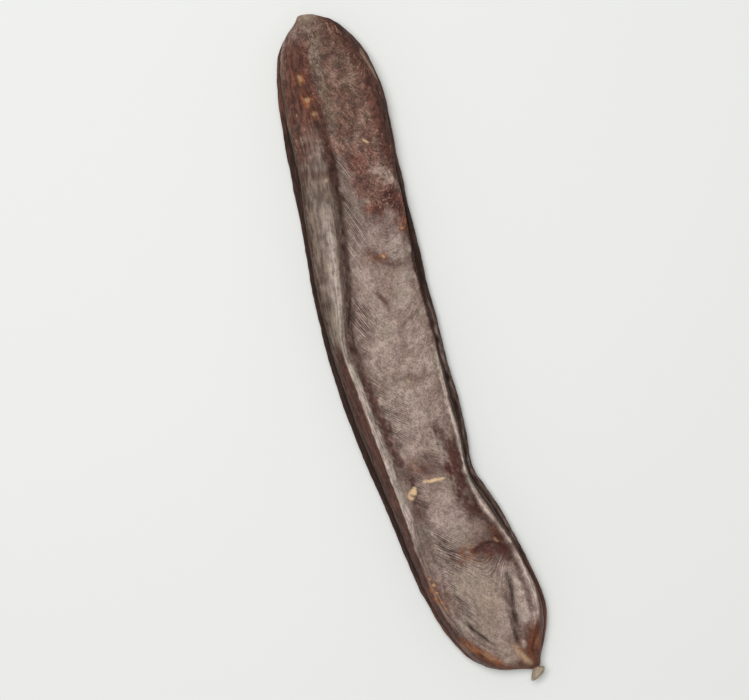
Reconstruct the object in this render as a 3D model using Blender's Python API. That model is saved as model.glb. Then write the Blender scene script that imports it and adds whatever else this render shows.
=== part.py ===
"""A ripe, dried carob pod lying flat on one of its broad sides, as one solid.

The pod is a cage of cross-sections, one ring of points each, under a Subdivision Surface
modifier, and the table cuts the small flat spots that it rests on. Along a ring the points
follow what a carob pod has: a seam in each edge between two lips, a thick rounded shoulder,
a raised rim, the furrow inside the rim and the sunken face of the valve. The first rings are
the scar where the stalk broke off, and the last ones are the dried end of the style.

Lengths are in millimetres, and only the last step turns them into metres. Along the pod they
are counted from the stalk scar, and across it to the right, with the scar at the top of the
view from above. Places across the pod that are called shares are parts of its half width,
from -1 at the left edge to 1 at the right edge.
"""

import bmesh
import bpy
import numpy as np

MM = 0.001
POD_COLOUR = (0.105, 0.052, 0.040, 1.0)
POD_ROUGHNESS = 0.42

# Driving dimensions: the whole fruit is POD_END plus the dried style.
POD_START = 1.1
POD_END = 170.4
STALK_ROUNDING = 29.4
STALK_THINNING = 18.2
TIP_ROUNDING = 20.6
STALK_SCAR_RADIUS = 2.1
TIP_RADIUS = 1.05
RINGS = 42
SUBDIVISIONS = 1

# Each table below is a smooth curve through (place along the pod, value) points.
CENTRE = (
    (0, -1.1), (7, -1.7), (14, -1.8), (21, -2.1), (30, -3.3), (50, -5.6), (62, -7.0), (75, -8.4),
    (87, -9.2), (111, -9.7), (120, -10.0), (128, -8.3), (136, -7.4), (148, -5.8),
    (155, -4.7), (160, -4.2), (165, -3.9), (168, -3.1), (170.4, 0.9),
)
HALF_WIDTH = (
    (0, 14.0), (16, 13.8), (30, 13.6), (50, 13.8), (62, 14.3), (75, 14.5), (99, 14.1), (111, 13.3),
    (120, 12.1), (128, 13.2), (136, 13.8), (148, 13.8), (170.4, 13.7),
)
SEAM_HEIGHT = ((0, 5.4), (60, 5.3), (110, 5.0), (150, 4.8), (170.4, 4.6))

# Heights of the rims on the upper face, and of those that the pod lies on.
TOP_LEFT = ((0, 10.6), (30, 11.5), (60, 11.8), (80, 11.2), (110, 10.8), (150, 9.9), (170.4, 9.2))
TOP_RIGHT = (
    (0, 10.2), (30, 9.9), (50, 9.5), (85, 9.9), (110, 10.3), (122, 10.6), (140, 9.8), (170.4, 9.2),
)
BOTTOM_LEFT = (
    (0, 0.5), (20, 0.4), (45, -0.1), (60, -0.3), (110, -0.3), (128, -0.2), (150, 0.1), (170.4, 0.5),
)
BOTTOM_RIGHT = (
    (0, 0.4), (15, 0.3), (38, -0.3), (60, -0.2), (90, 0.1), (120, 0.1), (140, -0.3), (156, 0.0),
    (170.4, 0.4),
)

# Shares of the half width: where the upper rims and the left shoulder run, and the steps
# from the rims to their furrows.
LEFT_SHOULDER = (
    (0, -0.84), (25, -0.84), (37, -0.82), (50, -0.88), (74, -0.87), (84, -0.80), (124, -0.77),
    (136, -0.84), (160, -0.84), (170.4, -0.75),
)
LEFT_RIM = (
    (0, -0.20), (14, -0.42), (25, -0.33), (38, -0.30), (50, -0.35), (62, -0.44), (72, -0.54),
    (80, -0.66), (90, -0.62), (99, -0.61), (120, -0.62), (136, -0.73), (155, -0.76), (160, -0.72),
    (165, -0.56), (170.4, -0.40),
)
RIGHT_RIM = (
    (0, 0.70), (25, 0.76), (42, 0.84), (50, 0.88), (62, 0.81), (87, 0.84), (111, 0.78),
    (120, 0.80), (128, 0.71), (137, 0.83), (150, 0.87), (156, 0.80), (160, 0.70),
    (164, 0.52), (170.4, 0.35),
)
LEFT_STEP = (
    (0, 0.16), (38, 0.14), (62, 0.14), (75, 0.16), (100, 0.20), (125, 0.25), (150, 0.20), (170.4, 0.16),
)
RIGHT_STEP = ((0, 0.22), (60, 0.16), (120, 0.20), (135, 0.28), (150, 0.36), (170.4, 0.30))

# How far the upper lips stand back from the edge, and how deep furrows and faces lie.
LEFT_LIP_BACK = ((0, 1.2), (25, 1.8), (38, 2.2), (50, 1.5), (62, 1.4), (125, 1.2), (170.4, 0.8))
RIGHT_LIP_BACK = ((0, 0.6), (40, 0.7), (50, 1.8), (62, 2.3), (100, 2.1), (118, 1.7), (140, 1.3), (170.4, 0.8))
LEFT_DEPTH = (
    (0, 0.1), (20, 0.6), (30, 1.1), (45, 2.0), (60, 2.6), (110, 2.8), (124, 2.4), (136, 1.6),
    (150, 1.1), (170.4, 0.6),
)
RIGHT_DEPTH = (
    (0, -0.4), (40, -0.1), (55, 0.6), (90, 1.0), (106, 1.8), (118, 3.2), (128, 2.8), (138, 1.8),
    (150, 1.4), (170.4, 0.7),
)
VALVE_DEPTH = ((0, -0.9), (30, -0.2), (50, 0.5), (85, 1.2), (120, 1.5), (136, 1.1), (150, 0.9), (170.4, 0.3))
UNDERSIDE_DEPTH = ((0, -0.3), (30, 0.7), (60, 1.1), (120, 1.2), (150, 0.8), (170.4, 0.2))

# Heights up the upper side, as shares of the way from the seam to the rim, and how far the
# rims swell above their height.
UPPER_LIP_HEIGHT = 0.34
LEFT_SHOULDER_HEIGHT = 0.86
RIGHT_SHOULDER_HEIGHT = 0.82
RIGHT_SHOULDER_SHIFT = 0.02
RIM_SWELL = 0.4
SHOULDER_SWELL = 0.2

# The seam lies in from both lips and below the upper one.
SEAM_INSET = 0.09
SEAM_SINK = 0.7
LOWER_LIP_PLACE = 0.45
LOWER_LIP_DROP = 0.1
EDGE_HEIGHT = 0.58
HEEL_HEIGHT = 0.14
VALVE_PARTS = (0.17, 0.34, 0.50, 0.66, 0.83)

# The underside between its edges: places as shares of the half width from right to left, and
# how far each is sunk, as a share of the underside's depth.
UNDERSIDE_HEEL = 0.90
UNDERSIDE = (
    (0.72, 0.0), (0.50, 1.35), (0.27, 1.0), (0.0, 0.85), (-0.27, 1.0), (-0.50, 1.35), (-0.72, 0.0),
)
UNDERSIDE_SWELL = 0.2
UNDERSIDE_WANDER = 0.035
UNDERSIDE_WAVE = 31.0

# Dents and swellings: place along, place across, half lengths along and across, height.
UPPER_RELIEF = (
    (45.0, 3.2, 4.0, 3.2, 0.60),
    (51.5, 1.0, 2.8, 5.0, -0.70),
    (60.5, 0.8, 3.8, 4.0, 0.75),
    (66.8, 0.0, 1.8, 5.0, -0.85),
    (62.0, -6.0, 3.2, 1.8, -0.60),
    (79.0, 0.0, 2.0, 4.5, -0.55),
    (88.0, -9.0, 7.0, 5.0, 0.30),
    (106.5, -3.6, 3.4, 2.4, -0.45),
    (114.0, -9.0, 2.8, 4.6, -0.65),
    (126.5, -7.5, 5.5, 3.6, 0.55),
    (138.6, -3.0, 2.0, 8.0, -1.70),
    (144.5, -5.0, 3.5, 7.0, 0.50),
    (153.5, 0.4, 8.0, 1.4, -1.00),
)
UPPER_RELIEF_REACH = 0.86
UNDER_RELIEF = (
    (34.0, -4.0, 7.0, 5.0, 0.4),
    (58.0, -8.0, 3.0, 8.0, 0.6),
    (79.0, -9.0, 8.0, 5.0, -0.4),
    (101.0, -9.5, 3.5, 7.0, 0.6),
    (131.0, -8.0, 7.0, 5.0, -0.4),
)

# The ends: over this length the section turns into the oval of the scar or the style.
END_LENGTH = 7.0
SCAR_PLACE = 0.15
SCAR_LEAN = 0.22
SCAR_DEPTH = 0.7

# Rings of the dried style: place along, place across, radius, lean. They are wider than high.
STYLE_RINGS = (
    (170.75, 0.95, 1.00, -0.10),
    (171.15, 0.95, 1.45, -0.28),
    (171.8, 0.90, 2.05, -0.38),
    (172.6, 0.72, 2.10, -0.38),
    (173.15, 0.60, 1.35, -0.38),
)
STYLE_FLATNESS = 0.68
CUTTER_HEIGHT = 20.0


def smooth_curve(points, x):
    """The value at x of a smooth curve through the points."""
    place, value = np.array(points, float).T
    slope = np.gradient(value, place)
    i = int(np.clip(np.searchsorted(place, x) - 1, 0, len(place) - 2))
    span = place[i + 1] - place[i]
    t = np.clip((x - place[i]) / span, 0.0, 1.0)
    return (
        (2 * t**3 - 3 * t**2 + 1) * value[i]
        + (t**3 - 2 * t**2 + t) * span * slope[i]
        + (3 * t**2 - 2 * t**3) * value[i + 1]
        + (t**3 - t**2) * span * slope[i + 1]
    )


def rounding(distance, length, power):
    """How much of its full size a rounded end has at this distance from its tip, from 0 to 1."""
    u = np.clip(distance / length, 0.0, 1.0)
    return (1.0 - (1.0 - u) ** power) ** (1.0 / power)


def relief(bumps, x, y):
    """Height of the dents and swellings at a place on a face."""
    return sum(
        height * np.exp(-(((x - bx) / along) ** 2) - ((y - by) / across) ** 2)
        for bx, by, along, across, height in bumps
    )


def half_sizes(x):
    """Half width, share of the full thickness and least half size that the pod has at x."""
    from_stalk, from_tip = x - POD_START, POD_END - x
    wide = smooth_curve(HALF_WIDTH, x)
    wide *= rounding(from_stalk, STALK_ROUNDING, 2.2) * rounding(from_tip, TIP_ROUNDING, 1.95)
    thick = rounding(from_stalk, STALK_THINNING, 2.2) * rounding(from_tip, TIP_ROUNDING, 2.1)
    least = STALK_SCAR_RADIUS if x < POD_END / 2 else TIP_RADIUS
    return np.hypot(wide, least), thick, least


def lip_backs(x):
    """Shares of the half width at which the left and the right upper lip stand."""
    full = smooth_curve(HALF_WIDTH, x)
    return smooth_curve(LEFT_LIP_BACK, x) / full - 1.0, 1.0 - smooth_curve(RIGHT_LIP_BACK, x) / full


def upper_side(x, centre, half, seam):
    """Points from the left seam over the top to the right seam, as (across, height)."""
    left_rim, right_rim = smooth_curve(LEFT_RIM, x), smooth_curve(RIGHT_RIM, x)
    left_back, right_back = lip_backs(x)
    shoulder = smooth_curve(LEFT_SHOULDER, x)
    left_furrow = left_rim + smooth_curve(LEFT_STEP, x)
    right_furrow = right_rim - smooth_curve(RIGHT_STEP, x)
    top_left, top_right = smooth_curve(TOP_LEFT, x), smooth_curve(TOP_RIGHT, x)

    def rim_plane(share):
        """Height of the plane from rim to rim."""
        return top_left + (top_right - top_left) * (share - left_rim) / (right_rim - left_rim)

    def up(part, top):
        """Height part of the way from the seam to a rim."""
        return seam + part * (top - seam)

    points = [
        (left_back + SEAM_INSET, seam - SEAM_SINK),
        (left_back, up(UPPER_LIP_HEIGHT, top_left)),
        (shoulder, up(LEFT_SHOULDER_HEIGHT, top_left)),
        ((shoulder + left_rim) / 2, top_left + SHOULDER_SWELL),
        (left_rim, top_left + RIM_SWELL),
        (left_furrow, rim_plane(left_furrow) - smooth_curve(LEFT_DEPTH, x)),
    ]
    for part in VALVE_PARTS:
        share = left_furrow + part * (right_furrow - left_furrow)
        points.append((share, rim_plane(share) - smooth_curve(VALVE_DEPTH, x)))
    points += [
        (right_furrow, rim_plane(right_furrow) - smooth_curve(RIGHT_DEPTH, x)),
        (right_rim, top_right + RIM_SWELL),
        ((right_rim + right_back) / 2 + RIGHT_SHOULDER_SHIFT, up(RIGHT_SHOULDER_HEIGHT, top_right)),
        (right_back, up(UPPER_LIP_HEIGHT, top_right)),
        (right_back - SEAM_INSET, seam - SEAM_SINK),
    ]
    return [
        (centre + share * half, height + face_relief(UPPER_RELIEF, x, centre, half, share))
        for share, height in points
    ]


def face_relief(bumps, x, centre, half, share):
    """Height of the dents and swellings, which stay clear of the pod's edges."""
    if abs(share) > UPPER_RELIEF_REACH:
        return 0.0
    return relief(bumps, x, centre + share * half)


def lower_side(x, centre, half, seam):
    """Points from the right lower lip under the pod to the left lower lip."""
    left, right = smooth_curve(BOTTOM_LEFT, x), smooth_curve(BOTTOM_RIGHT, x)
    left_back, right_back = lip_backs(x)
    depth = smooth_curve(UNDERSIDE_DEPTH, x)
    wander = UNDERSIDE_WANDER * np.sin(2 * np.pi * x / UNDERSIDE_WAVE)
    points = [
        (1.0 + LOWER_LIP_PLACE * (right_back - 1.0), seam - LOWER_LIP_DROP),
        (1.0, right + EDGE_HEIGHT * (seam - right)),
        (UNDERSIDE_HEEL, right + HEEL_HEIGHT * (seam - right)),
    ]
    for share, sunk in UNDERSIDE:
        height = left + (right - left) * (share + 1.0) / 2 - UNDERSIDE_SWELL + sunk * depth
        share += wander
        points.append((share, height + face_relief(UNDER_RELIEF, x, centre, half, share)))
    points += [
        (-UNDERSIDE_HEEL, left + HEEL_HEIGHT * (seam - left)),
        (-1.0, left + EDGE_HEIGHT * (seam - left)),
        (-1.0 + LOWER_LIP_PLACE * (left_back + 1.0), seam - LOWER_LIP_DROP),
    ]
    return [(centre + share * half, height) for share, height in points]


def ring_angles():
    """Angles of a ring's points seen along the pod, from the left seam over the top."""
    upper_points = 11 + len(VALVE_PARTS)
    lower_points = 6 + len(UNDERSIDE)
    upper = np.linspace(np.pi, 0.0, upper_points)
    lower = np.linspace(0.0, -np.pi, lower_points + 2)[1:-1]
    return np.concatenate([upper, lower])


def pod_ring(x):
    """The pod's cross-section at x, as points (x, y, z)."""
    centre = smooth_curve(CENTRE, x)
    half, thick, least = half_sizes(x)
    seam = smooth_curve(SEAM_HEIGHT, x)
    outline = np.array(upper_side(x, centre, half, seam) + lower_side(x, centre, half, seam))
    outline[:, 1] = seam + (outline[:, 1] - seam) * thick
    angles = ring_angles()
    deep = np.hypot(smooth_curve(TOP_LEFT, x) / 2 * thick, least)
    oval = np.column_stack([centre + half * np.cos(angles), seam + deep * np.sin(angles)])
    from_end = min(x - POD_START, POD_END - x)
    ovalness = max(0.0, 1.0 - from_end / END_LENGTH) ** 1.5
    outline += (oval - outline) * ovalness
    return np.column_stack([np.full(len(outline), x), outline])


def round_ring(x, y, z, radius, lean, flatness=1.0):
    """A small round ring, leaning so that it lies further along the pod on one side."""
    angles = ring_angles()
    across = radius * np.cos(angles)
    return np.column_stack([x + lean * across, y + across, z + flatness * radius * np.sin(angles)])


def scar_rings():
    """The broken stalk's scar, from the middle of its hollow out to its rim."""
    y, z = smooth_curve(CENTRE, 0.0) - 0.1, smooth_curve(SEAM_HEIGHT, 0.0)
    inner = round_ring(SCAR_PLACE + SCAR_DEPTH, y, z, 0.45 * STALK_SCAR_RADIUS, SCAR_LEAN)
    lip = round_ring(SCAR_PLACE, y, z, 0.85 * STALK_SCAR_RADIUS, SCAR_LEAN)
    rim = round_ring(SCAR_PLACE + 0.3, y, z, 1.08 * STALK_SCAR_RADIUS, SCAR_LEAN)
    return [inner, lip, rim]


def ring_places():
    """Places of the pod's rings, closer together towards the two ends."""
    turn = np.linspace(0.0, np.pi, RINGS)
    even = turn / np.pi
    rounded = (1.0 - np.cos(turn)) / 2
    return POD_START + 0.25 + (POD_END - POD_START - 0.3) * (0.45 * even + 0.55 * rounded)


def cage_rings():
    """Every ring of the cage, from the stalk scar to the end of the style."""
    style_height = smooth_curve(SEAM_HEIGHT, POD_END)
    rings = scar_rings()
    rings += [pod_ring(x) for x in ring_places()]
    for x, y, radius, lean in STYLE_RINGS:
        rings.append(round_ring(x, y, style_height, radius, lean, STYLE_FLATNESS))
    return rings


def cage_mesh(rings):
    """The closed cage: quads between the rings, and one face at each end."""
    bm = bmesh.new()
    loops = [[bm.verts.new(point) for point in ring] for ring in rings]
    for first, second in zip(loops, loops[1:]):
        for i in range(len(first)):
            j = (i + 1) % len(first)
            bm.faces.new((first[i], first[j], second[j], second[i]))
    bm.faces.new(loops[0])
    bm.faces.new(loops[-1])
    bmesh.ops.recalc_face_normals(bm, faces=bm.faces)
    mesh = bpy.data.meshes.new("pod")
    bm.to_mesh(mesh)
    bm.free()
    mesh.shade_smooth()
    return mesh


def skin_material():
    """Dark red-brown, waxy skin."""
    material = bpy.data.materials.new("pod_skin")
    material.use_nodes = True
    shader = material.node_tree.nodes["Principled BSDF"]
    shader.inputs["Base Color"].default_value = POD_COLOUR
    shader.inputs["Roughness"].default_value = POD_ROUGHNESS
    shader.inputs["Metallic"].default_value = 0.0
    return material


def table_cutter(length, width):
    """A block with its top at height zero, which cuts the pod's flat spots."""
    bm = bmesh.new()
    bmesh.ops.create_cube(bm, size=1.0)
    bmesh.ops.scale(bm, verts=bm.verts, vec=(length, width, CUTTER_HEIGHT * MM))
    bmesh.ops.translate(bm, verts=bm.verts, vec=(0.0, 0.0, -CUTTER_HEIGHT * MM / 2))
    mesh = bpy.data.meshes.new("table_cutter")
    bm.to_mesh(mesh)
    bm.free()
    cutter = bpy.data.objects.new("table_cutter", mesh)
    cutter.hide_render = True
    cutter.display_type = "WIRE"
    bpy.context.scene.collection.objects.link(cutter)
    return cutter


def surface_box(obj):
    """Lowest and highest corner of the object with its modifiers, in its own space."""
    evaluated = obj.evaluated_get(bpy.context.evaluated_depsgraph_get())
    mesh = evaluated.to_mesh()
    points = np.array([vertex.co for vertex in mesh.vertices])
    evaluated.to_mesh_clear()
    return points.min(axis=0), points.max(axis=0)


def build():
    """Models the pod with the middle of its length and width over the origin."""
    for obj in list(bpy.data.objects):
        bpy.data.objects.remove(obj)
    pod = bpy.data.objects.new("pod", cage_mesh([ring * MM for ring in cage_rings()]))
    pod.data.materials.append(skin_material())
    bpy.context.scene.collection.objects.link(pod)
    rounded = pod.modifiers.new("rounded", "SUBSURF")
    rounded.levels = SUBDIVISIONS
    rounded.render_levels = SUBDIVISIONS
    low, high = surface_box(pod)
    middle = (low + high) / 2
    for vertex in pod.data.vertices:
        vertex.co.x -= middle[0]
        vertex.co.y -= middle[1]
    size = high - low
    flat = pod.modifiers.new("flat_spots", "BOOLEAN")
    flat.operation = "DIFFERENCE"
    flat.solver = "EXACT"
    flat.object = table_cutter(1.2 * size[0], 1.2 * size[1])


build()
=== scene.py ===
"""The looks of the carob pod: its skin with every ridge, furrow and fold, on a pale floor.

The skin is one closed mesh. It follows the same cage of cross-sections as the solid, and adds
lumps, creases and wrinkles that the solid is too coarse for. Lengths are in millimetres,
counted along the pod from the stalk scar and across it to the right, until the mesh is made.
"""

import math
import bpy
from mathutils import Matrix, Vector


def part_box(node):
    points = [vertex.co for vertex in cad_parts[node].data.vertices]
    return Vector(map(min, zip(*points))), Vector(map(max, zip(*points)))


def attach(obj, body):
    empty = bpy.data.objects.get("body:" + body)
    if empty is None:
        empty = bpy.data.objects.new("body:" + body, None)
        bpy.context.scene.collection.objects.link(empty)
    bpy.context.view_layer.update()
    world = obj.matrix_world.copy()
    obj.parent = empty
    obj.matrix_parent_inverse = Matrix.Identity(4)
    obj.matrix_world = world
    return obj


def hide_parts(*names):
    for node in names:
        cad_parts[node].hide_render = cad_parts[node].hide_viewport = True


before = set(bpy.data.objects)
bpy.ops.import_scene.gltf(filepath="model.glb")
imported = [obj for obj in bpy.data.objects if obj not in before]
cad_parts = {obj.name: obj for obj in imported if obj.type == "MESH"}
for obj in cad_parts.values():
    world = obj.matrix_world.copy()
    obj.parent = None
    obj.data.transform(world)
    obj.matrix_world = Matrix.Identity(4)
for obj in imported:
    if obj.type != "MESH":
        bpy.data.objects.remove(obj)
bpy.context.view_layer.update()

from types import SimpleNamespace

import bpy
import numpy as np

# The cage of the solid, repeated here.
POD_START = 1.1
POD_END = 170.4
STALK_ROUNDING = 29.4
STALK_THINNING = 18.2
TIP_ROUNDING = 20.6
STALK_SCAR_RADIUS = 2.1
TIP_RADIUS = 1.05
RINGS = 42

CENTRE = (
    (0, -1.1), (7, -1.7), (14, -1.8), (21, -2.1), (30, -3.3), (50, -5.6), (62, -7), (75, -8.4),
    (87, -9.2), (111, -9.7), (120, -10), (128, -8.3), (136, -7.4), (148, -5.8), (155, -4.7),
    (160, -4.2), (165, -3.9), (168, -3.1), (170.4, 0.9),
)
HALF_WIDTH = (
    (0, 14), (16, 13.8), (30, 13.6), (50, 13.8), (62, 14.3), (75, 14.5), (99, 14.1), (111, 13.3),
    (120, 12.1), (128, 13.2), (136, 13.8), (148, 13.8), (170.4, 13.7),
)
SEAM_HEIGHT = ((0, 5.4), (60, 5.3), (110, 5), (150, 4.8), (170.4, 4.6))
TOP_LEFT = ((0, 10.6), (30, 11.5), (60, 11.8), (80, 11.2), (110, 10.8), (150, 9.9), (170.4, 9.2))
TOP_RIGHT = (
    (0, 10.2), (30, 9.9), (50, 9.5), (85, 9.9), (110, 10.3), (122, 10.6), (140, 9.8), (170.4, 9.2),
)
BOTTOM_LEFT = (
    (0, 0.5), (20, 0.4), (45, -0.1), (60, -0.3), (110, -0.3), (128, -0.2), (150, 0.1), (170.4, 0.5),
)
BOTTOM_RIGHT = (
    (0, 0.4), (15, 0.3), (38, -0.3), (60, -0.2), (90, 0.1), (120, 0.1), (140, -0.3), (156, 0),
    (170.4, 0.4),
)
LEFT_SHOULDER = (
    (0, -0.84), (25, -0.84), (37, -0.82), (50, -0.88), (74, -0.87), (84, -0.8), (124, -0.77),
    (136, -0.84), (160, -0.84), (170.4, -0.75),
)
LEFT_RIM = (
    (0, -0.2), (14, -0.42), (25, -0.33), (38, -0.3), (50, -0.35), (62, -0.44), (72, -0.54), (80, -0.66),
    (90, -0.62), (99, -0.61), (120, -0.62), (136, -0.73), (155, -0.76), (160, -0.72), (165, -0.56),
    (170.4, -0.4),
)
RIGHT_RIM = (
    (0, 0.7), (25, 0.76), (42, 0.84), (50, 0.88), (62, 0.81), (87, 0.84), (111, 0.78), (120, 0.8),
    (128, 0.71), (137, 0.83), (150, 0.87), (156, 0.8), (160, 0.7), (164, 0.52), (170.4, 0.35),
)
LEFT_STEP = (
    (0, 0.16), (38, 0.14), (62, 0.14), (75, 0.16), (100, 0.2), (125, 0.25), (150, 0.2), (170.4, 0.16),
)
RIGHT_STEP = ((0, 0.22), (60, 0.16), (120, 0.2), (135, 0.28), (150, 0.36), (170.4, 0.3))
LEFT_LIP_BACK = ((0, 1.2), (25, 1.8), (38, 2.2), (50, 1.5), (62, 1.4), (125, 1.2), (170.4, 0.8))
RIGHT_LIP_BACK = (
    (0, 0.6), (40, 0.7), (50, 1.8), (62, 2.3), (100, 2.1), (118, 1.7), (140, 1.3), (170.4, 0.8),
)
LEFT_DEPTH = (
    (0, 0.1), (20, 0.6), (30, 1.1), (45, 2), (60, 2.6), (110, 2.8), (124, 2.4), (136, 1.6), (150, 1.1),
    (170.4, 0.6),
)
RIGHT_DEPTH = (
    (0, -0.4), (40, -0.1), (55, 0.6), (90, 1), (106, 1.8), (118, 3.2), (128, 2.8), (138, 1.8),
    (150, 1.4), (170.4, 0.7),
)
VALVE_DEPTH = (
    (0, -0.9), (30, -0.2), (50, 0.5), (85, 1.2), (120, 1.5), (136, 1.1), (150, 0.9), (170.4, 0.3),
)
UNDERSIDE_DEPTH = ((0, -0.3), (30, 0.7), (60, 1.1), (120, 1.2), (150, 0.8), (170.4, 0.2))

UPPER_LIP_HEIGHT = 0.34
LEFT_SHOULDER_HEIGHT = 0.86
RIGHT_SHOULDER_HEIGHT = 0.82
RIGHT_SHOULDER_SHIFT = 0.02
RIM_SWELL = 0.4
SHOULDER_SWELL = 0.2
SEAM_INSET = 0.09
SEAM_SINK = 0.7
LOWER_LIP_PLACE = 0.45
LOWER_LIP_DROP = 0.1
EDGE_HEIGHT = 0.58
HEEL_HEIGHT = 0.14
VALVE_PARTS = (0.17, 0.34, 0.5, 0.66, 0.83)
UNDERSIDE_HEEL = 0.9
UNDERSIDE = ((0.72, 0), (0.5, 1.35), (0.27, 1), (0, 0.85), (-0.27, 1), (-0.5, 1.35), (-0.72, 0))
UNDERSIDE_SWELL = 0.2
UNDERSIDE_WANDER = 0.035
UNDERSIDE_WAVE = 31
UPPER_RELIEF = (
    (45, 3.2, 4, 3.2, 0.6), (51.5, 1, 2.8, 5, -0.7), (60.5, 0.8, 3.8, 4, 0.75),
    (66.8, 0, 1.8, 5, -0.85), (62, -6, 3.2, 1.8, -0.6), (79, 0, 2, 4.5, -0.55), (88, -9, 7, 5, 0.3),
    (106.5, -3.6, 3.4, 2.4, -0.45), (114, -9, 2.8, 4.6, -0.65), (126.5, -7.5, 5.5, 3.6, 0.55),
    (138.6, -3, 2, 8, -1.7), (144.5, -5, 3.5, 7, 0.5), (153.5, 0.4, 8, 1.4, -1),
)
UPPER_RELIEF_REACH = 0.86
UNDER_RELIEF = (
    (34, -4, 7, 5, 0.4), (58, -8, 3, 8, 0.6), (79, -9, 8, 5, -0.4), (101, -9.5, 3.5, 7, 0.6),
    (131, -8, 7, 5, -0.4),
)
END_LENGTH = 7
SCAR_PLACE = 0.15
SCAR_LEAN = 0.22
SCAR_DEPTH = 0.7
STYLE_RINGS = (
    (170.75, 0.95, 1, -0.1), (171.15, 0.95, 1.45, -0.28), (171.8, 0.9, 2.05, -0.38),
    (172.6, 0.72, 2.1, -0.38), (173.15, 0.6, 1.35, -0.38),
)
STYLE_FLATNESS = 0.68

# A ring's points are counted from the left seam over the top: 3 is the band, 4 and 12 the rims'
# crests, 5 and 11 the ends of the face, 15 the right seam, 17 and 27 the edges.
LEFT_CREST, RIGHT_CREST, RIGHT_SEAM, RING_POINTS = 4, 12, 15, 29

# How many columns of the skin's mesh lie between each point of a ring and the next.
COLUMNS = (2, 4, 6, 6, 13, 13, 13, 13, 13, 13, 13, 12, 7, 5, 2, 2, 3, 4, 3, 5, 5, 5, 5, 5, 5, 3, 4, 3, 2)
ROWS = 520


def curve(points, x):
    """The values at x, one or many, of a smooth curve through the points."""
    place, value = np.array(points, float).T
    slope = np.gradient(value, place)
    i = np.clip(np.searchsorted(place, x) - 1, 0, len(place) - 2)
    span = place[i + 1] - place[i]
    t = np.clip((x - place[i]) / span, 0, 1)
    return (
        (2 * t**3 - 3 * t**2 + 1) * value[i]
        + (t**3 - 2 * t**2 + t) * span * slope[i]
        + (3 * t**2 - 2 * t**3) * value[i + 1]
        + (t**3 - t**2) * span * slope[i + 1]
    )


def rounding(distance, length, power):
    """How much of its full size a rounded end has at this distance from its tip, from 0 to 1."""
    u = np.clip(distance / length, 0, 1)
    return (1 - (1 - u) ** power) ** (1 / power)


def relief(bumps, x, y):
    """Height of the dents and swellings at a place on a face."""
    return sum(
        height * np.exp(-(((x - bx) / along) ** 2) - ((y - by) / across) ** 2)
        for bx, by, along, across, height in bumps
    )


def half_sizes(x):
    """Half width, share of the full thickness and least half size that the pod has at x."""
    from_stalk, from_tip = x - POD_START, POD_END - x
    wide = curve(HALF_WIDTH, x)
    wide *= rounding(from_stalk, STALK_ROUNDING, 2.2) * rounding(from_tip, TIP_ROUNDING, 1.95)
    thick = rounding(from_stalk, STALK_THINNING, 2.2) * rounding(from_tip, TIP_ROUNDING, 2.1)
    least = STALK_SCAR_RADIUS if x < POD_END / 2 else TIP_RADIUS
    return np.hypot(wide, least), thick, least


def lip_backs(x):
    """Shares of the half width at which the left and the right upper lip stand."""
    full = curve(HALF_WIDTH, x)
    return curve(LEFT_LIP_BACK, x) / full - 1, 1 - curve(RIGHT_LIP_BACK, x) / full


def face_relief(bumps, x, centre, half, share):
    """Height of the dents and swellings, which stay clear of the pod's edges."""
    if abs(share) > UPPER_RELIEF_REACH:
        return 0
    return relief(bumps, x, centre + share * half)


def upper_side(x, centre, half, seam):
    """Points from the left seam over the top to the right seam, as (across, height)."""
    left_rim, right_rim = curve(LEFT_RIM, x), curve(RIGHT_RIM, x)
    left_back, right_back = lip_backs(x)
    shoulder = curve(LEFT_SHOULDER, x)
    left_furrow = left_rim + curve(LEFT_STEP, x)
    right_furrow = right_rim - curve(RIGHT_STEP, x)
    top_left, top_right = curve(TOP_LEFT, x), curve(TOP_RIGHT, x)

    def rim_plane(share):
        """Height of the plane from rim to rim."""
        return top_left + (top_right - top_left) * (share - left_rim) / (right_rim - left_rim)

    def up(part, top):
        """Height part of the way from the seam to a rim."""
        return seam + part * (top - seam)

    points = [
        (left_back + SEAM_INSET, seam - SEAM_SINK),
        (left_back, up(UPPER_LIP_HEIGHT, top_left)),
        (shoulder, up(LEFT_SHOULDER_HEIGHT, top_left)),
        ((shoulder + left_rim) / 2, top_left + SHOULDER_SWELL),
        (left_rim, top_left + RIM_SWELL),
        (left_furrow, rim_plane(left_furrow) - curve(LEFT_DEPTH, x)),
    ]
    for part in VALVE_PARTS:
        share = left_furrow + part * (right_furrow - left_furrow)
        points.append((share, rim_plane(share) - curve(VALVE_DEPTH, x)))
    points += [
        (right_furrow, rim_plane(right_furrow) - curve(RIGHT_DEPTH, x)),
        (right_rim, top_right + RIM_SWELL),
        ((right_rim + right_back) / 2 + RIGHT_SHOULDER_SHIFT, up(RIGHT_SHOULDER_HEIGHT, top_right)),
        (right_back, up(UPPER_LIP_HEIGHT, top_right)),
        (right_back - SEAM_INSET, seam - SEAM_SINK),
    ]
    return [
        (centre + share * half, height + face_relief(UPPER_RELIEF, x, centre, half, share))
        for share, height in points
    ]


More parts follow.
